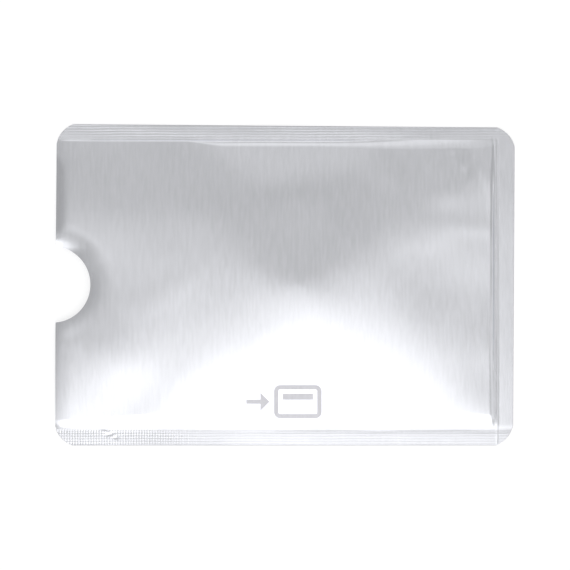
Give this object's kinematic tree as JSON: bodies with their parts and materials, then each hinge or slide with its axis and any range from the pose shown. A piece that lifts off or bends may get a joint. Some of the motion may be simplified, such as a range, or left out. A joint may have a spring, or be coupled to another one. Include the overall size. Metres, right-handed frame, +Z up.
{
  "type": "rfid card sleeve",
  "caption": "Flat foil-laminate pouch for a bank-size card, heat-sealed round its edge, with an open mouth and a thumb notch, that shields the card from radio readers.",
  "frame": {"origin": "middle of the underside, below the centre of the sleeve's bounding rectangle", "axes": "+X from the open mouth to the closed end, +Y across the sleeve towards the wider long seal, +Z up through the front wall"},
  "size_m": [0.0914, 0.0637, 0.0023],
  "materials": {
    "outer_film": "satin metallised polyester film with fine streaks across the sleeve",
    "foil": "thin aluminium foil",
    "seal_film": "milky polyethylene film over foil",
    "melted_seal": "polyethylene melted between the two walls",
    "ink": "thin light grey print"
  },
  "bodies": {
    "root": {"back_outer_film": "outer_film", "back_foil": "foil", "back_seal_film": "seal_film", "top_side_seal": "melted_seal", "bottom_side_seal": "melted_seal", "end_seal": "melted_seal", "front_seal_film": "seal_film", "front_foil": "foil", "front_outer_film": "outer_film", "printed_mark": "ink"}
  },
  "joints": []
}
